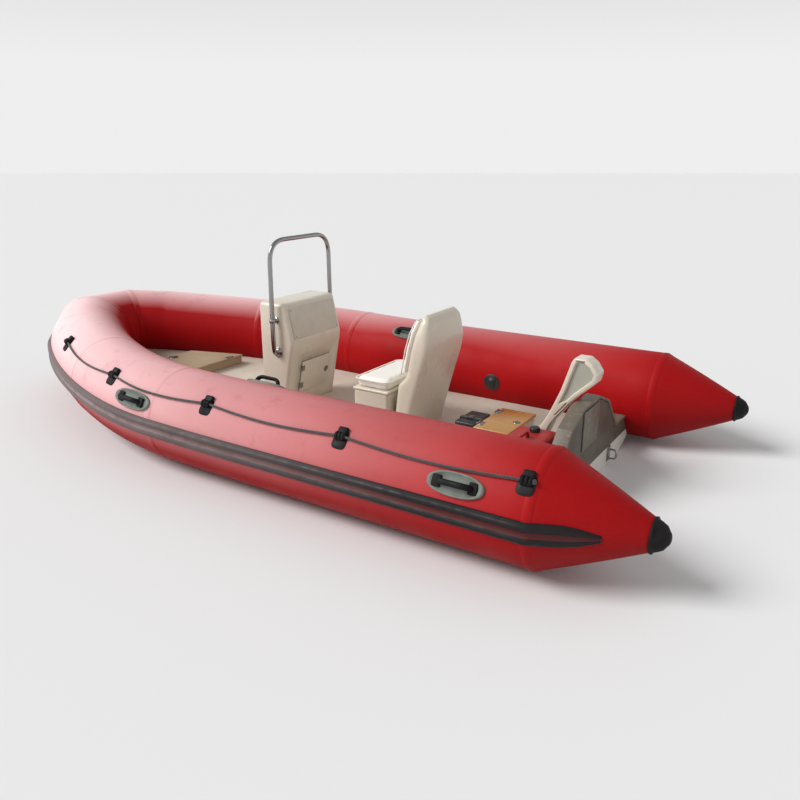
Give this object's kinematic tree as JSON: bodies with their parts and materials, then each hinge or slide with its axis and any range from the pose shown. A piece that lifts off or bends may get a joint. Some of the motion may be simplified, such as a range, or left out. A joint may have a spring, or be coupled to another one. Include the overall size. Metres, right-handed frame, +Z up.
{
  "type": "rigid inflatable boat with centre console",
  "caption": "Open boat with an inflated red collar on a deep-V rigid hull, a small centre console with a hoop rail, a single seat and hinged lockers, shown afloat.",
  "frame": {"origin": "on the still waterline, on the centreline, directly below the tips of the stern cones", "axes": "+X towards the bow, +Y to port, +Z up"},
  "size_m": [4.468, 2.2496, 1.355],
  "materials": {
    "tube": "semi-gloss coated fabric",
    "rubber": "matte moulded rubber",
    "grip_rubber": "matte moulded rubber",
    "gelcoat": "gloss gelcoat over glass fibre",
    "sole": "non-slip moulded gelcoat",
    "transom": "satin painted laminate",
    "stainless": "polished stainless steel",
    "vinyl": "grained upholstery vinyl",
    "wood": "varnished plywood",
    "tank": "satin moulded polyethylene",
    "dash": "satin moulded plastic",
    "rope": "braided polyester rope"
  },
  "bodies": {
    "boat": {"battery_box": "rubber", "bow_locker": "gelcoat", "bow_nose_tube": "tube", "console_shell": "gelcoat", "dash_panel": "dash", "fuel_cap": "rubber", "fuel_tank": "tank", "hoop_rail": "stainless", "hull": "gelcoat", "port_bow_tube": "tube", "port_cone_cap": "rubber", "port_grip_1": "grip_rubber", "port_grip_2": "grip_rubber", "port_hoop_foot": "stainless", "port_hoop_stay": "stainless", "port_inner_handle": "grip_rubber", "port_lifeline": "rope", "port_rope_holder_1": "rubber", "port_rope_holder_2": "rubber", "port_rope_holder_3": "rubber", "port_rope_holder_4": "rubber", "port_rope_holder_5": "rubber", "port_side_tube": "tube", "port_stern_cone": "tube", "port_tow_eye": "stainless", "rub_strake": "rubber", "seat_back": "gelcoat", "seat_back_pad": "vinyl", "seat_base": "gelcoat", "sole": "sole", "starboard_bow_tube": "tube", "starboard_cone_cap": "rubber", "starboard_grip_1": "grip_rubber", "starboard_grip_2": "grip_rubber", "starboard_hoop_foot": "stainless", "starboard_hoop_stay": "stainless", "starboard_inner_handle": "grip_rubber", "starboard_lifeline": "rope", "starboard_rope_holder_1": "rubber", "starboard_rope_holder_2": "rubber", "starboard_rope_holder_3": "rubber", "starboard_rope_holder_4": "rubber", "starboard_rope_holder_5": "rubber", "starboard_side_tube": "tube", "starboard_stern_cone": "tube", "starboard_tow_eye": "stainless", "stern_locker": "gelcoat", "stern_post": "gelcoat", "transom": "transom", "transom_cap": "gelcoat"},
    "console_door": {"console_door": "gelcoat"},
    "seat_lid": {"seat_lid": "gelcoat", "seat_cushion": "vinyl"},
    "bow_locker_lid": {"bow_locker_lid": "sole"},
    "stern_locker_lid": {"stern_locker_lid": "wood"}
  },
  "joints": [
    {"name": "console_door_hinge", "type": "hinge", "parent": "boat", "child": "console_door", "pos_m": [2.3215, 0.13, 0.3355], "axis": [-0.1871, 0, 0.9823], "range_deg": [-110, 0]},
    {"name": "seat_lid_hinge", "type": "hinge", "parent": "boat", "child": "seat_lid", "pos_m": [1.868, 0, 0.372], "axis": [0, 1, 0], "range_deg": [0, 85]},
    {"name": "bow_locker_hinge", "type": "hinge", "parent": "boat", "child": "bow_locker_lid", "pos_m": [3.234, 0, 0.2382], "axis": [0, -1, 0], "range_deg": [0, 95]},
    {"name": "stern_locker_hinge", "type": "hinge", "parent": "boat", "child": "stern_locker_lid", "pos_m": [1.152, 0, 0.2593], "axis": [0, 1, 0], "range_deg": [0, 90]}
  ]
}
